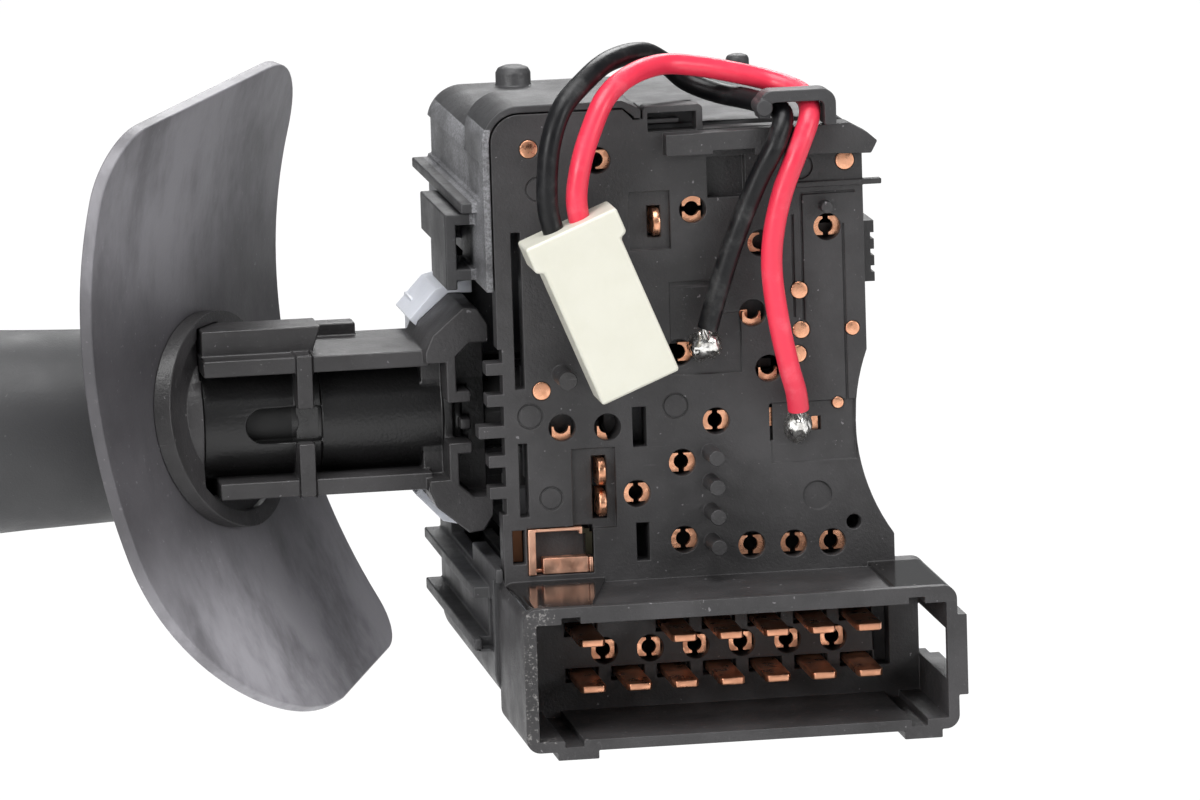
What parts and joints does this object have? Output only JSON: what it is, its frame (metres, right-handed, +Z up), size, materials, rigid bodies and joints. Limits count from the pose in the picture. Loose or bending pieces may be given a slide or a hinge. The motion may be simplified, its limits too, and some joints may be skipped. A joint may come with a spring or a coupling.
{
  "type": "combination stalk switch",
  "caption": "Steering column stalk switch: lever with turning rings and push button, curved shield, contact plate with blade header, and two leads to a plug.",
  "frame": {"origin": "centre of the rear seat face of the housing, level with the lever axis", "axes": "+X from the lever towards the steering column, +Y from the connector side to the seat, +Z up"},
  "size_m": [0.2113, 0.059, 0.0735],
  "materials": {
    "black_pa": "fine moulded grain",
    "plate_pa": "satin moulded",
    "copper": "bare stamped copper alloy",
    "solder": "reflowed solder",
    "red_pvc": "smooth insulation",
    "black_pvc": "smooth insulation",
    "ivory_pa": "satin moulded",
    "tin": "tinned",
    "steel": "ground",
    "milky_pa": "translucent nylon",
    "shield_grey": "dull with cloudy scuffs",
    "handle_black": "fine grain"
  },
  "bodies": {
    "base": {"housing": "black_pa", "contact_carrier": "plate_pa", "lead_frame": "copper", "upper_terminals": "copper", "lower_terminals": "copper", "contact_rivets": "copper", "blade_contacts": "copper", "ground_strap": "copper", "solder_joints": "solder", "red_wire": "red_pvc", "black_wire": "black_pvc", "plug_housing": "ivory_pa", "plug_terminals": "tin", "wire_clip": "black_pa", "detent_track": "black_pa", "cancel_spring": "steel"},
    "swivel": {"swivel_block": "black_pa", "lever_pin": "steel", "detent_spring": "steel"},
    "plunger": {"detent_plunger": "steel"},
    "lever": {"lever_root": "black_pa", "slide_shoe": "milky_pa", "shield": "shield_grey", "shield_collar": "black_pa", "handle_core": "black_pa", "handle_sleeve": "handle_black", "marker_ring": "handle_black"},
    "fog": {"fog_ring": "handle_black", "fog_tube": "black_pa"},
    "light": {"light_knob": "handle_black", "drive_shaft": "black_pa", "button_spring": "steel"},
    "button": {"end_button": "handle_black", "horn_rod": "steel"},
    "turn_slide": {"turn_slider": "black_pa", "turn_contacts": "copper"},
    "flash_slide": {"flash_plunger": "black_pa", "flash_contact": "copper"},
    "light_slide": {"light_slider": "black_pa", "light_contacts": "copper"},
    "fog_slide": {"fog_slider": "black_pa", "fog_contact": "copper"},
    "cancel": {"cancel_finger": "black_pa"}
  },
  "joints": [
    {"name": "lever_turn", "type": "hinge", "parent": "base", "child": "swivel", "pos_m": [-0.004, 0, 0], "axis": [0, 1, 0], "range_deg": [-8, 8]},
    {"name": "lever_flash", "type": "hinge", "parent": "swivel", "child": "lever", "pos_m": [-0.004, -0.025, 0], "axis": [0, 0, 1], "range_deg": [-6, 0], "stiffness_Nm_per_rad": 8, "springref_deg": 1.72},
    {"name": "fog_turn", "type": "hinge", "parent": "lever", "child": "fog", "pos_m": [-0.004, -0.025, 0], "axis": [1, 0, 0], "range_deg": [-20, 20]},
    {"name": "light_turn", "type": "hinge", "parent": "lever", "child": "light", "pos_m": [-0.004, -0.025, 0], "axis": [1, 0, 0], "range_deg": [-20, 20]},
    {"name": "horn_press", "type": "slide", "parent": "light", "child": "button", "axis": [1, 0, 0], "range_m": [0, 0.0025], "stiffness_N_per_m": 800, "springref_m": -0.003, "deforming": ["button_spring"]},
    {"name": "turn_slide_x", "type": "slide", "parent": "base", "child": "turn_slide", "axis": [1, 0, 0], "range_m": [-0.0015, 0.0015]},
    {"name": "flash_slide_y", "type": "slide", "parent": "base", "child": "flash_slide", "axis": [0, 1, 0], "range_m": [-0.0013, 0]},
    {"name": "light_slide_z", "type": "slide", "parent": "base", "child": "light_slide", "axis": [0, 0, 1], "range_m": [-0.0032, 0.0032]},
    {"name": "fog_slide_y", "type": "slide", "parent": "base", "child": "fog_slide", "axis": [0, 1, 0], "range_m": [-0.0036, 0.0036]},
    {"name": "detent_press", "type": "slide", "parent": "swivel", "child": "plunger", "axis": [1, 0, 0], "range_m": [-0.0008, 0], "stiffness_N_per_m": 1500, "springref_m": 0.002, "deforming": ["detent_spring"]},
    {"name": "cancel_press", "type": "slide", "parent": "base", "child": "cancel", "axis": [1, 0, 0], "range_m": [-0.0015, 0], "stiffness_N_per_m": 600, "springref_m": 0.003, "deforming": ["cancel_spring"]}
  ],
  "couplings": [
    {"joint": "turn_slide_x", "follows": "lever_turn", "m_per_rad": 0.0105},
    {"joint": "flash_slide_y", "follows": "lever_flash", "m_per_rad": 0.012},
    {"joint": "light_slide_z", "follows": "light_turn", "m_per_rad": -0.009},
    {"joint": "fog_slide_y", "follows": "fog_turn", "m_per_rad": 0.01}
  ]
}
